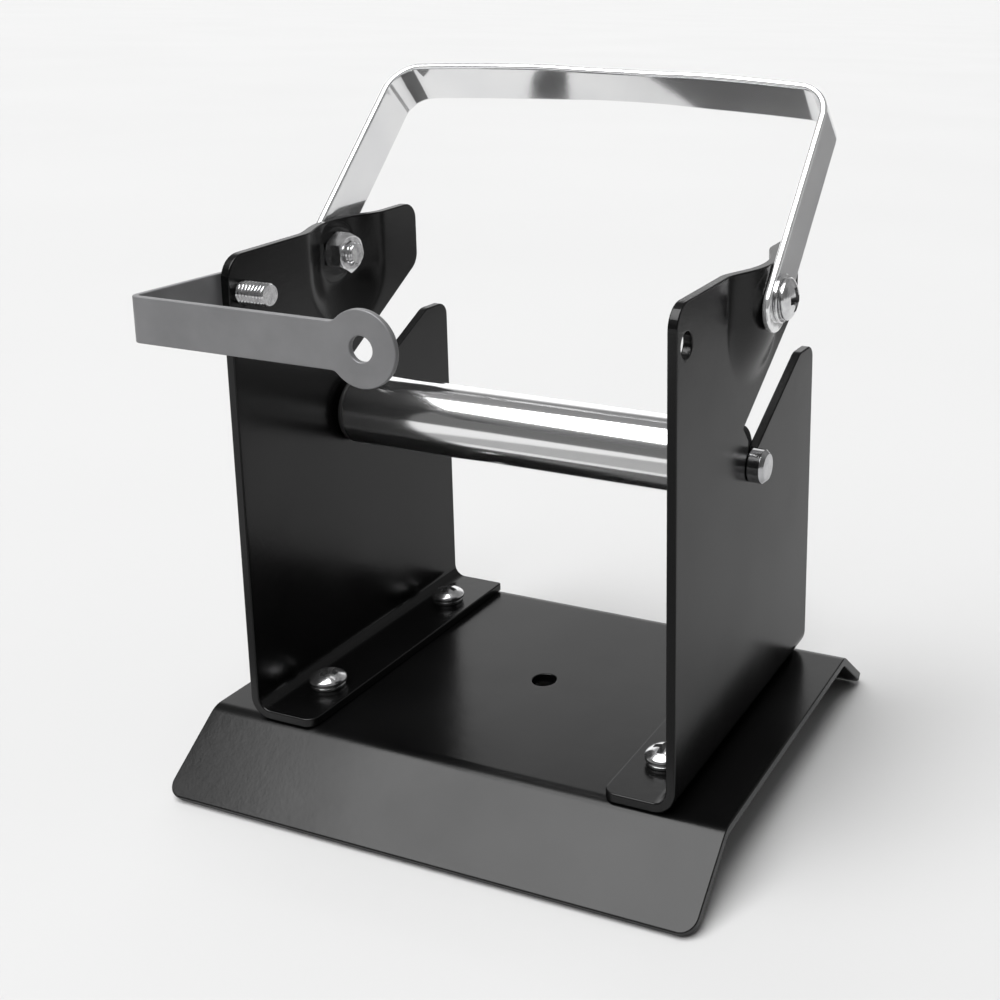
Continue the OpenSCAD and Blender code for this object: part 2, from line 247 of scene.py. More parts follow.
def make_piece(name, bm, place, body, looks, nodes, sharp=40):
    """Turns a bmesh into an object that rides a body and stands for CAD nodes.

    place gives the point in metres where each vertex of the bmesh goes.
    """
    for vert in bm.verts:
        vert.co = place(*vert.co)
    bmesh.ops.recalc_face_normals(bm, faces=bm.faces[:])
    mesh = bpy.data.meshes.new(name)
    bm.to_mesh(mesh)
    bm.free()
    mesh.shade_smooth()
    mesh.set_sharp_from_angle(angle=math.radians(sharp))
    for material in looks:
        mesh.materials.append(material)
    piece = bpy.data.objects.new(name, mesh)
    bpy.context.scene.collection.objects.link(piece)
    normals = piece.modifiers.new("flat_faces", "WEIGHTED_NORMAL")
    normals.keep_sharp = True
    normals.weight = 100
    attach(piece, body)
    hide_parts(*nodes)


def lathe(profile, steps=64):
    """Closed or open (radius, height) profile turned round the third axis."""
    bm = bmesh.new()
    rings = []
    for radius, height in profile:
        if radius == 0:
            rings.append([bm.verts.new((0, 0, height))])
            continue
        turn = [math.tau * i / steps for i in range(steps)]
        rings.append([bm.verts.new((radius * math.cos(a), radius * math.sin(a), height)) for a in turn])
    for low, high in zip(rings, rings[1:]):
        for i in range(steps):
            j = (i + 1) % steps
            corners = [low[i % len(low)], low[j % len(low)], high[j % len(high)], high[i % len(high)]]
            unique = list(dict.fromkeys(corners))
            if len(unique) > 2:
                bm.faces.new(unique)
    return bm


def soft_corner(points, radius, steps=4):
    """Open profile with each inner point rounded by a small arc."""
    result = [points[0]]
    for before, here, after in zip(points, points[1:], points[2:]):
        result += corner_arc(before, here, after, radius, steps)
    return result + [points[-1]]


def to_x(side, x, y, z):
    """Placement that lays the third axis along X, to the right for side 1 and left for -1."""
    return lambda u, v, w: (x + side * w, y + side * v, z + u)


def upright(x, y, z):
    """Placement that keeps the third axis up."""
    return lambda u, v, w: (x + u, y + v, z + w)


# ---------------------------------------------------------------- materials


class Nodes:
    """Short way to write a node material."""

    def __init__(self, name):
        self.material = bpy.data.materials.new(name)
        self.material.use_nodes = True
        self.tree = self.material.node_tree
        self.shader = self.tree.nodes["Principled BSDF"]
        self.where = self.add("ShaderNodeTexCoord").outputs["Object"]

    def add(self, kind, **values):
        node = self.tree.nodes.new(kind)
        for key, value in values.items():
            setattr(node, key, value)
        return node

    def link(self, source, target):
        self.tree.links.new(source, target)

    def set(self, name, value):
        self.shader.inputs[name].default_value = value

    def noise(self, scale, detail=3.0, stretch=(1, 1, 1)):
        mapping = self.add("ShaderNodeMapping")
        mapping.inputs["Scale"].default_value = stretch
        self.link(self.where, mapping.inputs["Vector"])
        texture = self.add("ShaderNodeTexNoise")
        texture.inputs["Scale"].default_value = scale
        texture.inputs["Detail"].default_value = detail
        self.link(mapping.outputs["Vector"], texture.inputs["Vector"])
        return texture.outputs["Fac"]

    def spread(self, value, low, high, start=0.35, end=0.65):
        node = self.add("ShaderNodeMapRange")
        node.inputs["From Min"].default_value = start
        node.inputs["From Max"].default_value = end
        node.inputs["To Min"].default_value = low
        node.inputs["To Max"].default_value = high
        self.link(value, node.inputs["Value"])
        return node.outputs["Result"]

    def colours(self, value, low, high, start=0.3, end=0.7):
        ramp = self.add("ShaderNodeValToRGB")
        ramp.color_ramp.elements[0].position = start
        ramp.color_ramp.elements[0].color = (*low, 1)
        ramp.color_ramp.elements[1].position = end
        ramp.color_ramp.elements[1].color = (*high, 1)
        self.link(value, ramp.inputs["Fac"])
        return ramp.outputs["Color"]

    def bump(self, height, strength, distance, under=None):
        node = self.add("ShaderNodeBump")
        node.inputs["Strength"].default_value = strength
        node.inputs["Distance"].default_value = distance
        self.link(height, node.inputs["Height"])
        if under is not None:
            self.link(under, node.inputs["Normal"])
        self.link(node.outputs["Normal"], self.shader.inputs["Normal"])
        return node.outputs["Normal"]

    def deepen(self, part, colour):
        """Lets a part of the surface take the light in, as fine pores do."""
        pores = self.add("ShaderNodeBsdfDiffuse")
        pores.inputs["Color"].default_value = (*colour, 1)
        mix = self.add("ShaderNodeMixShader")
        mix.inputs["Fac"].default_value = part
        self.link(self.shader.outputs["BSDF"], mix.inputs[1])
        self.link(pores.outputs["BSDF"], mix.inputs[2])
        self.link(mix.outputs["Shader"], self.tree.nodes["Material Output"].inputs["Surface"])


def black_coat():
    """Semi-gloss black powder coat: fine orange peel and a slightly uneven sheen."""
    n = Nodes("black_coat")
    n.link(n.colours(n.noise(60, 4), (0.0015, 0.0015, 0.0016), (0.0035, 0.0035, 0.0036)),
           n.shader.inputs["Base Color"])
    n.link(n.spread(n.noise(45, 3), 0.20, 0.26), n.shader.inputs["Roughness"])
    n.set("Specular IOR Level", 0.45)
    peel = n.bump(n.noise(1600, 2), 0.10, 0.00008)
    n.bump(n.noise(420, 2), 0.06, 0.0002, peel)
    n.deepen(0.30, (0.0015, 0.0015, 0.0015))
    return n.material


def chrome(name, stretch, rough, haze):
    """Polished strip or tube with fine lengthwise draw lines, faint smears and a little haze."""
    n = Nodes(name)
    n.set("Metallic", 1.0 - haze)
    n.link(n.colours(n.noise(70, 4, stretch), (0.84, 0.84, 0.85), (0.92, 0.92, 0.92)),
           n.shader.inputs["Base Color"])
    n.link(n.spread(n.noise(90, 3, stretch), rough * 0.7, rough * 1.4), n.shader.inputs["Roughness"])
    lines = n.bump(n.noise(900, 3, stretch), 0.10, 0.00004)
    n.bump(n.noise(30, 2), 0.10, 0.0006, lines)
    return n.material


def satin_steel():
    """Grey satin strip of the wire guide, finely blasted."""
    n = Nodes("satin_steel")
    n.set("Metallic", 0.5)
    n.link(n.colours(n.noise(140, 5), (0.205, 0.205, 0.21), (0.235, 0.235, 0.24)),
           n.shader.inputs["Base Color"])
    n.link(n.spread(n.noise(220, 4), 0.46, 0.54), n.shader.inputs["Roughness"])
    n.bump(n.noise(2600, 3), 0.12, 0.00004)
    return n.material


def zinc_screw():
    """Bright zinc plating of screws, washers and nuts."""
    n = Nodes("zinc_screw")
    n.set("Metallic", 0.97)
    n.link(n.colours(n.noise(500, 4), (0.56, 0.56, 0.57), (0.80, 0.80, 0.80)),
           n.shader.inputs["Base Color"])
    n.link(n.spread(n.noise(700, 3), 0.12, 0.24), n.shader.inputs["Roughness"])
    n.bump(n.noise(1500, 3), 0.12, 0.00005)
    return n.material


def dull_recess():
    """Painted shade down in the cross recesses: a dark colour that stands in for the shade there, on a
    dull plating.
    """
    n = Nodes("dull_recess")
    n.set("Metallic", 0.7)
    n.link(n.colours(n.noise(600, 3), (0.045, 0.045, 0.045), (0.085, 0.085, 0.085)),
           n.shader.inputs["Base Color"])
    n.link(n.spread(n.noise(700, 3), 0.40, 0.55), n.shader.inputs["Roughness"])
    n.bump(n.noise(1500, 3), 0.12, 0.00005)
    return n.material


def axle_steel():
    """Turned steel of the axle, with faint lathe rings."""
    n = Nodes("axle_steel")
    n.set("Metallic", 1.0)
    n.link(n.colours(n.noise(400, 3), (0.40, 0.40, 0.41), (0.54, 0.54, 0.55)),
           n.shader.inputs["Base Color"])
    n.link(n.spread(n.noise(500, 3), 0.10, 0.20), n.shader.inputs["Roughness"])
    n.bump(n.noise(2400, 2, (6, 1, 1)), 0.2, 0.00004)
    return n.material


def black_plug():
    """Moulded black plastic of the roller's end plugs."""
    n = Nodes("black_plug")
    n.link(n.colours(n.noise(300, 4), (0.010, 0.010, 0.010), (0.020, 0.020, 0.020)),
           n.shader.inputs["Base Color"])
    n.link(n.spread(n.noise(600, 3), 0.42, 0.55), n.shader.inputs["Roughness"])
    n.bump(n.noise(3000, 2), 0.15, 0.00005)
    return n.material


COAT = black_coat()
STRAP_CHROME = chrome("chrome_strap", stretch=(1, 1, 1), rough=0.09, haze=0.22)
TUBE_CHROME = chrome("chrome_tube", stretch=(0.03, 1, 1), rough=0.10, haze=0.02)
SATIN = satin_steel()
ZINC = zinc_screw()
# Painted shade for the cross recesses of the screw heads.
RECESS_PAINTED_SHADE = dull_recess()
STEEL = axle_steel()
PLUG = black_plug()

# ---------------------------------------------------------------- base


def base_place():
    """Bends the flat base: the skirts turn down at both ends."""
    tip_rise = SHEET * math.cos(SKIRT_ANGLE)
    sharp_y = BASE_TIP_Y - (BASE_TOP - tip_rise) / math.tan(SKIRT_ANGLE)
    flat_y = sharp_y - SHEET_BEND * math.tan(SKIRT_ANGLE / 2)
    skirt = (BASE_TIP_Y - sharp_y) / math.cos(SKIRT_ANGLE) - (sharp_y - flat_y)
    mid = SHEET_BEND - SHEET / 2
    turn = mid * SKIRT_ANGLE

    def place(u, v, w):
        side = 1 if v > 0 else -1
        run = abs(v)
        radius = SHEET_BEND - w
        if run <= flat_y:
            return (u, v, BASE_TOP - w)
        angle = min((run - flat_y) / mid, SKIRT_ANGLE)
        rest = max(run - flat_y - turn, 0)
        y = flat_y + radius * math.sin(angle) + rest * math.cos(angle)
        z = BASE_TOP - SHEET_BEND + radius * math.cos(angle) - rest * math.sin(angle)
        return (u, side * y, z)

    return place, flat_y, turn, skirt


def build_base():
    """Base sheet with its middle hole and four screw holes."""
    place, flat_y, turn, skirt = base_place()
    end = flat_y + turn + skirt
    signs = ((1, 1), (-1, 1), (-1, -1), (1, -1))
    corners = [(sx * BASE_HALF_W, sy * end, SKIRT_CORNER) for sx, sy in signs]
    holes = [hole((0, 0), BASE_HOLE_R)]
    holes += [hole((sx * SCREW_X, sy * SCREW_Y), M4_HOLE, 24) for sx in (-1, 1) for sy in (-1, 1)]
    bm = flat_sheet(rounded(corners), holes, SHEET, CUT_EDGE)
    bend = steps_between(flat_y, flat_y + turn, 6)
    cut_at(bm, 1, bend + [-b for b in bend])
    make_piece("base_sheet", bm, place, "stand", [COAT], ["base_plate"])


# ---------------------------------------------------------------- side plates


def slot_points():
    """Outline of the hooked notch, from the lip round the notch to its front edge."""
    axle = Vector((0, AXLE_Z))
    reach = Vector(LIP) - axle
    touch = math.atan2(reach.y, reach.x) - math.acos(NOTCH_R / reach.length)
    return [LIP] + arc(axle, NOTCH_R, touch, -math.pi, 24)


def plate_outline(foot_v):
    """Flat pattern of a side plate: depth against height, flange unrolled below the bend."""
    outline = rounded([
        (-PLATE_HALF_D, FRONT_TOP, FRONT_TOP_CORNER),
        (-PLATE_HALF_D, foot_v, FLANGE_FRONT_CORNER),
        (PLATE_HALF_D, foot_v, FLANGE_REAR_CORNER),
        (PLATE_HALF_D, TOOTH_TOP, TOOTH_REAR_CORNER),
        (TOOTH_Y, TOOTH_TOP, TOOTH_TIP_CORNER),
        (*LIP, 0),
        (*NOTCH_TOP, 0),
        (*SLOT_START, 0),
        (EAR_Y, EAR_LOW, EAR_LOW_CORNER),
        (EAR_Y, EAR_TOP, EAR_TOP_CORNER)])
    lip = outline.index(LIP)
    return outline[:lip] + slot_points() + outline[lip + 1:]


def smooth_max(a, b, soft):
    """The larger of two numbers, rounded off where they differ by less than soft."""
    blend = max(soft - abs(a - b), 0) / soft
    return max(a, b) + blend * blend * soft / 4


def smooth_step(x, start, end):
    """Goes smoothly from 0 at start to 1 at end."""
    t = min(max((x - start) / (end - start), 0), 1)
    return t * t * (3 - 2 * t)


def pressed_face(y, z, face, radius, seat):
    """X of one face of the plate where the pocket is pressed outwards round a flat pad."""
    centre = HALF_SPAN + POCKET_OUT - POCKET_R
    drop = min(z - POCKET_Z, 0)
    room = radius * radius - y * y - drop * drop
    if room <= 0:
        return face
    x = smooth_max(face, centre + math.sqrt(room), POCKET_BLEND)
    away = math.hypot(y, z - PIVOT_Z)
    return x + (seat - x) * (1 - smooth_step(away, PAD_R, PAD_END))


def build_side_plate(side, name, node):
    """Side plate: foot flange bent inwards, slot, tooth, ear and pressed pocket."""
    bend_z = BASE_TOP + SHEET_BEND
    mid = SHEET_BEND - SHEET / 2
    turn = mid * math.pi / 2
    flange = HALF_SPAN - SHEET_BEND - FLANGE_IN
    foot_v = bend_z - turn - flange
    flange_v = bend_z - turn

    def place(u, v, w):
        if v >= bend_z:
            outer = pressed_face(u, v, HALF_SPAN, POCKET_R, POCKET_SEAT)
            inner = pressed_face(u, v, PLATE_IN, POCKET_R - SHEET, NUT_SEAT)
            return (side * (outer + (inner - outer) * w / SHEET), u, v)
        angle = min((bend_z - v) / mid, math.pi / 2)
        rest = max(flange_v - v, 0)
        radius = SHEET_BEND - w
        x = HALF_SPAN - SHEET_BEND + radius * math.cos(angle) - rest
        return (side * x, u, bend_z - radius * math.sin(angle))

    screw_v = flange_v - (HALF_SPAN - SHEET_BEND - SCREW_X)
    holes = [hole((0, PIVOT_Z), PIVOT_HOLE), hole((GUIDE_Y, GUIDE_Z), M5, 32)]
    holes += [hole((sy * SCREW_Y, screw_v), M4_HOLE, 24) for sy in (-1, 1)]
    bm = flat_sheet(plate_outline(foot_v), holes, SHEET, CUT_EDGE)
    cut_at(bm, 1, steps_between(flange_v, bend_z, 8))
    cut_at(bm, 0, steps_between(-POCKET_REACH, POCKET_REACH, 46))
    cut_at(bm, 1, steps_between(POCKET_FOOT, EAR_TOP, 39))
    make_piece(name, bm, place, "stand", [COAT], [node])


# ---------------------------------------------------------------- handle and guide


def build_handle():
    """Bright strap: a slightly arched bar, two round corners and two flat arms.

    The bar has the slight twist of a strip bent by hand: none at TWIST_START
    along it, and nearly all beyond TWIST_GROWTH from there.
    """
    corner_x = STRAP_OUT - HANDLE_BEND
    arch_up = HANDLE_LEN - HANDLE_ARCH
    arch_half = math.asin(corner_x / (HANDLE_ARCH - HANDLE_BEND))
    corner_up = arch_up + (HANDLE_ARCH - HANDLE_BEND) * math.cos(arch_half)
    arch_mid = HANDLE_ARCH - STRAP / 2
    corner_mid = HANDLE_BEND - STRAP / 2
    bar = arch_half * arch_mid
    turn = (math.pi / 2 - arch_half) * corner_mid
    pivot_s = bar + turn + corner_up
    cap = pivot_s + HANDLE_TAIL

    def place(u, v, w):
        side = 1 if u > 0 else -1
        run = abs(u)
        wave = 1 - math.exp(-((u - TWIST_START) / TWIST_GROWTH) ** 4)
        twist = HANDLE_TWIST * wave * (1 - smooth_step(run, bar, bar + turn))
        if run < bar:
            x = (HANDLE_ARCH - w) * math.sin(run / arch_mid)
            up = arch_up + (HANDLE_ARCH - w) * math.cos(run / arch_mid)
        else:
            angle = min(arch_half + (run - bar) / corner_mid, math.pi / 2)
            x = corner_x + (HANDLE_BEND - w) * math.sin(angle)
            up = corner_up + (HANDLE_BEND - w) * math.cos(angle) - max(run - bar - turn, 0)
        up -= v * math.tan(twist)
        y = v * math.cos(HANDLE_LEAN) + up * math.sin(HANDLE_LEAN)
        z = PIVOT_Z - v * math.sin(HANDLE_LEAN) + up * math.cos(HANDLE_LEAN)
        return (side * x, y, z)

    outline = arc((cap, 0), HANDLE_W / 2, -math.pi / 2, math.pi / 2, 24)
    outline += arc((-cap, 0), HANDLE_W / 2, math.pi / 2, 3 * math.pi / 2, 24)
    holes = [hole((side * pivot_s, 0), PIVOT_HOLE, 32) for side in (-1, 1)]
    bm = flat_sheet(outline, holes, STRAP, STRAP_EDGE)
    bends = steps_between(bar, bar + turn, 14)
    cut_at(bm, 0, bends + [-b for b in bends] + steps_between(-bar, bar, 60)[1:-1])
    make_piece("handle_strap", bm, place, "handle", [STRAP_CHROME], ["handle"])


def build_guide():
    """Satin strap: side run, a right-angle bend and the front run that ends in the eye disc."""
    corner_y = GUIDE_FRONT + GUIDE_BEND
    mid = GUIDE_BEND - GUIDE_T / 2
    turn = mid * math.pi / 2
    side_run = GUIDE_Y - corner_y
    eye_u = -(GUIDE_OUT + GUIDE_BEND) + turn
    pivot_u = -side_run

    def place(u, v, w):
        radius = GUIDE_BEND - w
        angle = min(max(u / mid, 0), math.pi / 2)
        before = min(u, 0)
        after = max(u - turn, 0)
        x = GUIDE_OUT + GUIDE_BEND - radius * math.cos(angle) + after
        y = corner_y - before - radius * math.sin(angle)
        return (x, y, GUIDE_Z + v)

    half = GUIDE_W / 2
    fillet_v = half + EYE_FILLET
    reach = math.sqrt((EYE_DISC + EYE_FILLET) ** 2 - fillet_v ** 2)
    lean = math.asin(fillet_v / (EYE_DISC + EYE_FILLET))
    outline = arc((pivot_u, 0), half, math.pi / 2, 3 * math.pi / 2, 24)
    outline += arc((eye_u - reach, -fillet_v), EYE_FILLET, math.pi / 2, lean, 6)
    outline += arc((eye_u, 0), EYE_DISC, lean - math.pi, math.pi - lean, 48)
    outline += arc((eye_u - reach, fillet_v), EYE_FILLET, -lean, -math.pi / 2, 6)
    holes = [hole((pivot_u, 0), PIVOT_HOLE, 32), hole((eye_u, 0), EYE_HOLE, 40)]
    bm = flat_sheet(outline, holes, GUIDE_T, GUIDE_EDGE)
    cut_at(bm, 0, steps_between(0, turn, 6))
    make_piece("guide_strap", bm, place, "guide", [SATIN], ["guide_arm"])


# ---------------------------------------------------------------- screws, washers and nuts


def thread(radius, pitch, low, high, steps=28, rows=6):
    """Threaded rod from low to high with a chamfered low end."""
    bm = bmesh.new()
    depth = pitch * 0.5
    crest = 0.15
    tip_land = 0.1 * MM
    count = math.ceil((high - low) / pitch * rows)
    rings = []
    for k in range(count + 1):
        height = low + (high - low) * k / count
        ring = []
        for i in range(steps):
            a = math.tau * i / steps
            phase = (height / pitch + i / steps) % 1
            groove = abs(phase * 2 - 1)
            flank = radius - depth * max(groove - crest, 0)
            chamfer = radius - depth + (height - low) + tip_land
            r = min(flank, chamfer)
            ring.append(bm.verts.new((r * math.cos(a), r * math.sin(a), height)))
        rings.append(ring)
    for low_ring, high_ring in zip(rings, rings[1:]):
        for i in range(steps):
            j = (i + 1) % steps
            bm.faces.new((low_ring[i], low_ring[j], high_ring[j], high_ring[i]))
    bm.faces.new(rings[0])
    bm.faces.new(rings[-1])
    return bm


def cross_cutter(head_r, top):
    """Tapered cross that sinks into a screw head, wide above and narrow at the bottom."""
    bm = bmesh.new()
    arm = head_r * 0.66
    width = head_r * 0.165
    bottom = (top - CROSS_DEPTH, 0.36 * arm, 0.8 * width)
    mouth = (top, arm, width)
    above = (top + 1 * MM, 1.3 * arm, 1.1 * width)
    rings = []
    for height, reach, half in (bottom, mouth, above):
        quarter = ((reach, -half), (reach, half), (half, half))
        ring = []
        for turn in range(4):
            spin = Matrix.Rotation(turn * math.pi / 2, 3, "Z")
            ring += [bm.verts.new(spin @ Vector((u, v, height))) for u, v in quarter]
        rings.append(ring)
    for low, high in zip(rings, rings[1:]):
        for i in range(len(low)):
            j = (i + 1) % len(low)
            bm.faces.new((low[i], low[j], high[j], high[i]))
    bm.faces.new(rings[0][::-1])
    bm.faces.new(rings[-1])
    return bm


def mesh_from(bm, name):
    """Turns a bmesh into mesh data with its faces pointing outwards."""
    mesh = bpy.data.meshes.new(name)
    bmesh.ops.recalc_face_normals(bm, faces=bm.faces[:])
    bm.to_mesh(mesh)
    bm.free()
    return mesh


def pan_head(radius, height):
    """Pan head with a soft rim and a tapered cross recess, seat at height 0."""
    rim_soft = 0.45 * MM
    rim_drop = 0.15 * MM
    dome = (radius * radius + height * height) / (2 * height) * 1.35
    crown = [(0, height)]
    for k in range(1, 9):
        r = radius * 0.94 * k / 8
        crown.append((r, height - dome + math.sqrt(dome * dome - r * r)))
    rim = math.sqrt(dome * dome - radius * radius) + height - dome
    profile = crown + [(radius, rim - rim_drop), (radius, 0), (0, 0)]
    head = bpy.data.objects.new("head", mesh_from(lathe(soft_corner(profile, rim_soft, 3), 48), "head"))
    cutter = bpy.data.objects.new("cutter", mesh_from(cross_cutter(radius, height), "cutter"))
    for item in (head, cutter):
        bpy.context.scene.collection.objects.link(item)
    cut = head.modifiers.new("cross", "BOOLEAN")
    cut.operation = "DIFFERENCE"
    cut.solver = "EXACT"
    cut.object = cutter
    bpy.context.view_layer.update()
    depsgraph = bpy.context.evaluated_depsgraph_get()
    bm = bmesh.new()
    bm.from_mesh(bpy.data.meshes.new_from_object(head.evaluated_get(depsgraph)))
    for item in (head, cutter):
        bpy.data.objects.remove(item)
    # Faces down in the cross recess take material 1, the painted recess shade.
    for face in bm.faces:
        at = face.calc_center_median()
        off = at.xy.length
        crown_z = height - dome + math.sqrt(dome * dome - off * off)
        if off < radius * 0.68 and 0.2 * MM < at.z < crown_z - 0.25 * MM:
            face.material_index = 1
    return bm


def join(bm, other):
    """Adds the faces of other to bm."""
    mesh = mesh_from(other, "join")
    bm.from_mesh(mesh)
    bpy.data.meshes.remove(mesh)
    return bm


def screw(radius, pitch, head_r, head_h, length):
    """Pan-head screw: the head's seat at height 0 and the thread below it."""
    return join(pan_head(head_r, head_h), thread(radius * 0.99, pitch, -length, -0.02 * MM))


def washer(outer, inner, height):
    """Flat ring with its edges broken."""
    edge = 0.2 * MM
    profile = [
        (inner, edge), (inner + edge, 0), (outer - edge, 0), (outer, edge),
        (outer, height - edge), (outer - edge, height), (inner + edge, height),
        (inner, height - edge), (inner, edge)]
    return lathe(profile, 56)


def nut(flats, bore, height):
    """Hexagon nut with a turned chamfer on both faces."""
    bm = bmesh.new()
    steps = 72
    countersink = 0.35 * MM
    slope = math.tan(math.radians(30))
    low_rings, high_rings = [], []
    for k in range(7):
        low_ring, high_ring = [], []
        for i in range(steps):
            a = math.tau * i / steps
            off = a % (math.pi / 3) - math.pi / 6
            edge = flats / 2 / math.cos(off)
            r = bore + countersink + (edge - bore - countersink) * k / 6
            drop = max(r - flats / 2, 0) * slope
            low_ring.append(bm.verts.new((r * math.cos(a), r * math.sin(a), drop)))
            high_ring.append(bm.verts.new((r * math.cos(a), r * math.sin(a), height - drop)))
        low_rings.append(low_ring)
        high_rings.append(high_ring)
    bore_rings = []
    for depth in (countersink, height - countersink):
        turn = [math.tau * i / steps for i in range(steps)]
        bore_rings.append([bm.verts.new((bore * math.cos(a), bore * math.sin(a), depth)) for a in turn])
    rings = [bore_rings[0]] + low_rings + high_rings[::-1] + [bore_rings[1], bore_rings[0]]
    for first, second in zip(rings, rings[1:]):
        for i in range(steps):
            j = (i + 1) % steps
            bm.faces.new((first[i], first[j], second[j], second[i]))
    return bm


def middle(node):
    """Middle of a CAD node's box."""
    low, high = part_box(node)
    return (low + high) / 2


def half_width(node, axis):
    """Half the size of a CAD node along one axis."""
    low, high = span(node, axis)
    return (high - low) / 2


def build_base_fasteners():
    """Screw, washer and nut at each corner of the foot flanges."""
    for where in ("fl", "fr", "rl", "rr"):
        at = middle("base_screw_" + where)
        washer_low, washer_high = span("base_washer_" + where, Z)
        screw_low, screw_high = span("base_screw_" + where, Z)
        nut_low, nut_high = span("base_nut_" + where, Z)
        head_r = half_width("base_screw_" + where, X)
        bm = screw(M4, M4_PITCH, head_r, screw_high - washer_high, washer_high - screw_low)
        make_piece("base_screw_mesh_" + where, bm, upright(at.x, at.y, washer_high), "stand",
                   [ZINC, RECESS_PAINTED_SHADE], ["base_screw_" + where], sharp=30)
        bm = washer(half_width("base_washer_" + where, X), M4 + WASHER_GAP, washer_high - washer_low)
        make_piece("base_washer_mesh_" + where, bm, upright(at.x, at.y, washer_low), "stand",
                   [ZINC], ["base_washer_" + where])
        bm = nut(2 * half_width("base_nut_" + where, Y), M4, nut_high - nut_low)
        make_piece("base_nut_mesh_" + where, bm, upright(at.x, at.y, nut_low), "stand",
                   [ZINC], ["base_nut_" + where], sharp=25)


def outward(node, side):
    """Near and far distance of a node from the middle plane, along its side."""
    low, high = span(node, X)
    return (low, high) if side > 0 else (-high, -low)


def build_pivot(side, label):
    """Screw, washer and nut that one end of the handle turns on."""
    seat, washer_far = outward("handle_washer_" + label, side)
    tip, head_far = outward("handle_screw_" + label, side)
    nut_near, nut_far = outward("handle_nut_" + label, side)
    head_r = half_width("handle_screw_" + label, Y)
    bm = screw(M5, M5_PITCH, head_r, head_far - washer_far, washer_far - tip)
    make_piece("pivot_screw_mesh_" + label, bm, to_x(side, side * washer_far, 0, PIVOT_Z), "stand",
               [ZINC, RECESS_PAINTED_SHADE], ["handle_screw_" + label], sharp=30)
    bm = washer(half_width("handle_washer_" + label, Y), M5 + WASHER_GAP, washer_far - seat)
    make_piece("pivot_washer_mesh_" + label, bm, to_x(side, side * seat, 0, PIVOT_Z), "stand",
               [ZINC], ["handle_washer_" + label])
    bm = nut(2 * half_width("handle_nut_" + label, Y), M5, nut_far - nut_near)
    make_piece("pivot_nut_mesh_" + label, bm, to_x(side, side * nut_near, 0, PIVOT_Z), "stand",
               [ZINC], ["handle_nut_" + label], sharp=25)


def build_guide_screw():
    """Screw through the guide strap into the left plate."""
    tip, head_far = outward("guide_screw", -1)
    seat = head_far - GUIDE_HEAD_H
    bm = screw(M5, M5_PITCH, half_width("guide_screw", Y), GUIDE_HEAD_H, seat - tip)
    make_piece("guide_screw_mesh", bm, to_x(-1, -seat, GUIDE_Y, GUIDE_Z), "stand",
               [ZINC, RECESS_PAINTED_SHADE], ["guide_screw"], sharp=30)


# ---------------------------------------------------------------- roller


def build_axle():
    """Axle rod with a groove where it lies in each plate's notch."""
    half = span("axle_rod", X)[1]
    r = AXLE_R
    groove = 2.0 * MM
    gap = 0.15 * MM
    chamfer = 0.8 * MM
    right = [(r, PLATE_IN - gap), (groove, PLATE_IN - gap), (groove, HALF_SPAN + gap),
             (r, HALF_SPAN + gap), (r, half - chamfer), (r - chamfer, half), (0, half)]
    profile = [(a, -b) for a, b in right[::-1]] + right
    bm = lathe(soft_corner(profile, 0.12 * MM, 3), 64)
    make_piece("axle_mesh", bm, to_x(1, 0, 0, AXLE_Z), "axle", [STEEL], ["axle_rod"])


def build_roller():
    """Roller tube and its two end plugs."""
    radius = mount_size("roller", "r_mm")
    half = mount_size("roller", "length_mm") / 2
    wall = 1.5 * MM
    inner = radius - wall
    chamfer = 0.5 * MM
    right = [(inner, half - 0.4 * MM), (inner + 0.3 * MM, half), (radius - chamfer, half),
             (radius, half - chamfer)]
    profile = right + [(a, -b) for a, b in right[::-1]] + [right[0]]
    bm = lathe(profile, 96)
    make_piece("roller_tube_mesh", bm, to_x(1, 0, 0, AXLE_Z), "roller", [TUBE_CHROME],
               ["roller_tube"])
    for side, label in ((1, "right"), (-1, "left")):
        near, far = outward("roller_cap_" + label, side)
        bore = AXLE_R + 0.05 * MM
        collar = radius - 0.2 * MM
        loop = [(bore, near), (inner, near), (inner, half), (collar, half), (collar, far), (bore, far),
                (bore, near)]
        bm = lathe(soft_corner(loop, 0.25 * MM, 3), 64)
        make_piece("roller_plug_mesh_" + label, bm, to_x(side, 0, 0, AXLE_Z), "roller",
                   [PLUG], ["roller_cap_" + label])


build_base()
build_side_plate(1, "right_plate_sheet", "side_plate_right")
build_side_plate(-1, "left_plate_sheet", "side_plate_left")
build_handle()
build_guide()
build_base_fasteners()
build_pivot(1, "right")
build_pivot(-1, "left")
build_guide_screw()
build_axle()
build_roller()

# ---------------------------------------------------------------- floor, light and camera


def build_floor():
    """Plain pale floor, far wider than the picture."""
    bm = bmesh.new()
    bmesh.ops.create_grid(bm, x_segments=1, y_segments=1, size=60.0)
    mesh = bpy.data.meshes.new("floor")
    bm.to_mesh(mesh)
    bm.free()
    n = Nodes("pale_floor")
    n.link(n.colours(n.noise(3, 2), (0.575, 0.575, 0.575), (0.59, 0.59, 0.59)),
           n.shader.inputs["Base Color"])
    n.set("Roughness", 0.6)
    n.set("Specular IOR Level", 0.2)
    mesh.materials.append(n.material)
    floor = bpy.data.objects.new("floor", mesh)
    bpy.context.scene.collection.objects.link(floor)


BACK_LEFT = 1.40
BACK_RIGHT = 0.34
FRONT_WALL = 0.14
CEILING = 0.24
HORIZON = 0.84
STAND_MIDDLE = Vector((0, 0, 0.07))


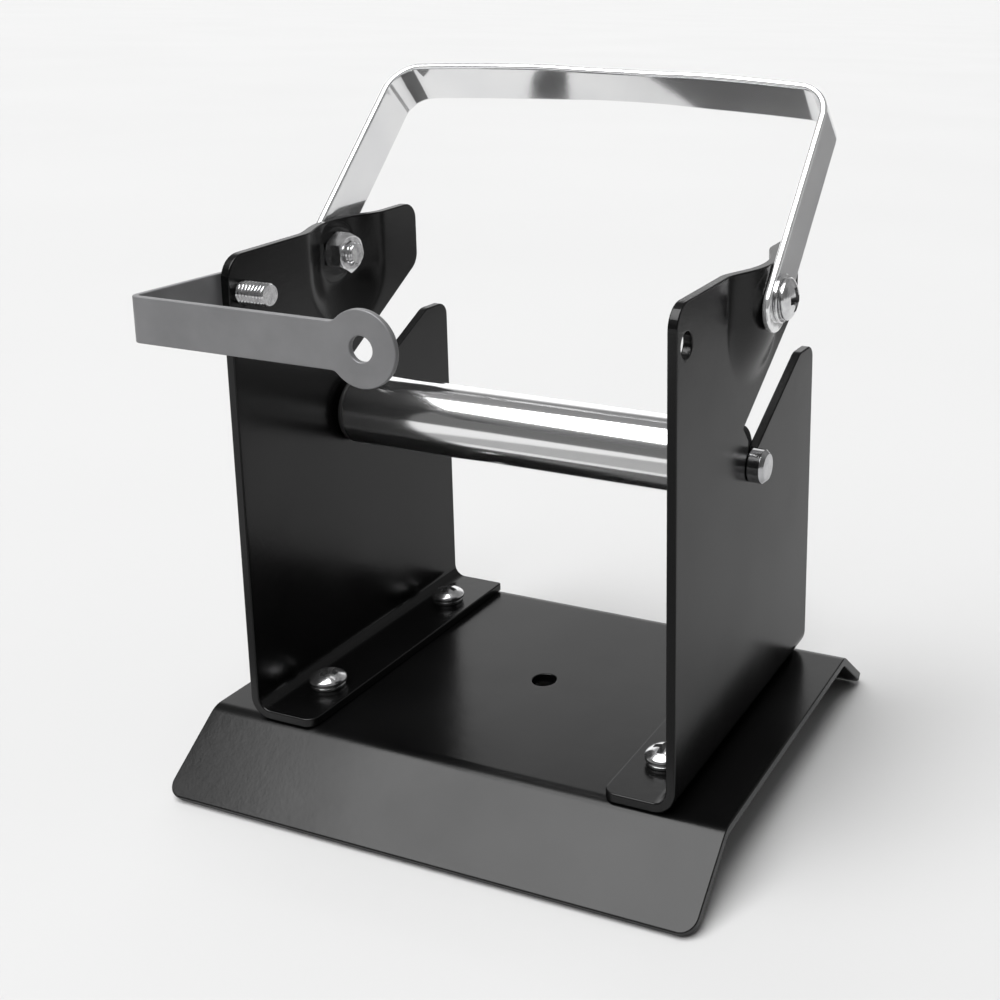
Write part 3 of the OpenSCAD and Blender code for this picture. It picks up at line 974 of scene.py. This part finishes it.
def build_world():
    """Plain studio: dim all round but for a bright wall behind on the left.

    Seen directly, over the edge of the floor, it is one plain pale tone.
    """
    world = bpy.data.worlds.new("studio")
    world.use_nodes = True
    tree = world.node_tree
    split = tree.nodes.new("ShaderNodeSeparateXYZ")
    tree.links.new(tree.nodes.new("ShaderNodeTexCoord").outputs["Generated"], split.inputs["Vector"])

    def fade(value, start, end, low, high):
        node = tree.nodes.new("ShaderNodeMapRange")
        node.interpolation_type = "SMOOTHSTEP"
        for key, number in (("From Min", start), ("From Max", end)):
            node.inputs[key].default_value = number
        for key, number in (("To Min", low), ("To Max", high)):
            if isinstance(number, float):
                node.inputs[key].default_value = number
            else:
                tree.links.new(number, node.inputs[key])
        tree.links.new(value, node.inputs["Value"])
        return node.outputs["Result"]

    back = fade(split.outputs["X"], -0.12, 0.12, BACK_LEFT, BACK_RIGHT)
    walls = fade(split.outputs["Y"], 0.10, 0.55, FRONT_WALL, back)
    light = fade(split.outputs["Z"], 0.48, 0.66, walls, CEILING)
    seen = tree.nodes.new("ShaderNodeMix")
    tree.links.new(tree.nodes.new("ShaderNodeLightPath").outputs["Is Camera Ray"], seen.inputs[0])
    tree.links.new(light, seen.inputs[2])
    seen.inputs[3].default_value = HORIZON
    tree.nodes["Background"].inputs["Color"].default_value = (1, 1, 1, 1)
    tree.links.new(seen.outputs[0], tree.nodes["Background"].inputs["Strength"])
    bpy.context.scene.world = world


def direction(azimuth, elevation):
    """Unit vector away from the stand. Azimuth 0 is in front, 90 degrees on the right."""
    flat = math.cos(elevation)
    return Vector((math.sin(azimuth) * flat, -math.cos(azimuth) * flat, math.sin(elevation)))


def aim(azimuth, elevation, distance):
    """Placement that faces the stand, angles in degrees."""
    away = direction(math.radians(azimuth), math.radians(elevation))
    turn = (-away).to_track_quat("-Z", "Y").to_matrix().to_4x4()
    return Matrix.Translation(STAND_MIDDLE + away * distance) @ turn


def round_softbox(name, place, width, radiance):
    """Big round softbox, far enough to light the whole floor evenly. Its width is an angle."""
    data = bpy.data.lights.new(name, "SUN")
    data.angle = math.radians(width)
    data.energy = radiance * math.pi * math.sin(data.angle / 2) ** 2
    lamp = bpy.data.objects.new(name, data)
    lamp.matrix_world = place
    bpy.context.scene.collection.objects.link(lamp)


def painted_reflection_card(name, corner, across, up, grey):
    """Flat card that glows grey and shows only in reflections: a painted reflection, not a lamp."""
    corner, across, up = Vector(corner), Vector(across), Vector(up)
    mesh = bpy.data.meshes.new(name)
    mesh.from_pydata([corner, corner + across, corner + across + up, corner + up], [], [(0, 1, 2, 3)])
    n = Nodes(name)
    n.set("Base Color", (0, 0, 0, 1))
    # Grey glow that only glossy rays see: painted reflection.
    n.link(n.colours(n.noise(4, 2), (grey,) * 3, (grey * 1.1,) * 3), n.shader.inputs["Emission Color"])
    n.set("Emission Strength", 1.0)
    n.set("Specular IOR Level", 0.0)
    mesh.materials.append(n.material)
    card = bpy.data.objects.new(name, mesh)
    bpy.context.scene.collection.objects.link(card)
    for sight in ("visible_camera", "visible_diffuse", "visible_shadow", "visible_transmission"):
        setattr(card, sight, False)


CAMERA_PLACE = (0.1476, -0.2520, 0.1711)
CAMERA_AZIMUTH = math.radians(19.72)
CAMERA_ELEVATION = math.radians(13.42)
CAMERA_ROLL = math.radians(1.39)
CAMERA_LENS = 49.61
CAMERA_SHIFT = (-0.2887, -0.1904)


def shift_lens(data, camera):
    """Shifts the lens to frame the stand, but only while the camera is at CAMERA_PLACE.

    A curve over the camera's X gives the shift. From any other place it is 0,
    which leaves the stand in the middle of the frame.
    """
    for path, shift in zip(("shift_x", "shift_y"), CAMERA_SHIFT):
        curve = data.driver_add(path)
        curve.modifiers.remove(curve.modifiers[0])
        curve.extrapolation = "CONSTANT"
        curve.driver.type = "SUM"
        place = curve.driver.variables.new()
        place.type = "TRANSFORMS"
        place.targets[0].id = camera
        place.targets[0].transform_type = "LOC_X"
        curve.keyframe_points.add(4)
        steps = ((-2 * MM, 0), (-1 * MM, shift), (1 * MM, shift), (2 * MM, 0))
        for key, (step, value) in zip(curve.keyframe_points, steps):
            key.co = (CAMERA_PLACE[X] + step, value)
            key.interpolation = "LINEAR"


def build_camera():
    """Camera at the stand's front right, a little above it."""
    back = direction(CAMERA_AZIMUTH, CAMERA_ELEVATION)
    right = (-back).cross(Vector((0, 0, 1))).normalized()
    up = right.cross(-back)
    right_rolled = right * math.cos(CAMERA_ROLL) + up * math.sin(CAMERA_ROLL)
    up_rolled = up * math.cos(CAMERA_ROLL) - right * math.sin(CAMERA_ROLL)
    data = bpy.data.cameras.new("camera")
    data.sensor_width = 36
    data.lens = CAMERA_LENS
    data.clip_start = 0.01
    data.clip_end = 50
    camera = bpy.data.objects.new("camera", data)
    camera.matrix_world = Matrix.Translation(CAMERA_PLACE) @ Matrix(
        (right_rolled, up_rolled, back)).transposed().to_4x4()
    bpy.context.scene.collection.objects.link(camera)
    bpy.context.scene.camera = camera
    shift_lens(data, camera)


build_floor()
build_world()
round_softbox("top_softbox", aim(azimuth=-22, elevation=66, distance=4.0), width=54, radiance=6.5)
# Cards that glow grey in reflections only: painted reflections on the strap, the plates and the coat.
painted_reflection_card("rear_flag", (0.06, 0.25, 0.035), (0.28, 0, 0), (0, 0, 0.027), grey=0.25)
painted_reflection_card("pocket_flag", (0.20, 0.24, 0.001), (0.40, 0, 0), (0, 0, 0.079), grey=0.10)
painted_reflection_card("arm_flag", (0.065, 0.12, 0.075), (0.040, 0, 0), (0, 0, 0.080), grey=0.24)
painted_reflection_card("front_card", (-0.12, -0.45, 0.001), (0.28, 0, 0), (0, 0.38, 0), grey=0.40)
build_camera()

view = bpy.context.scene.view_settings
view.view_transform = "Standard"
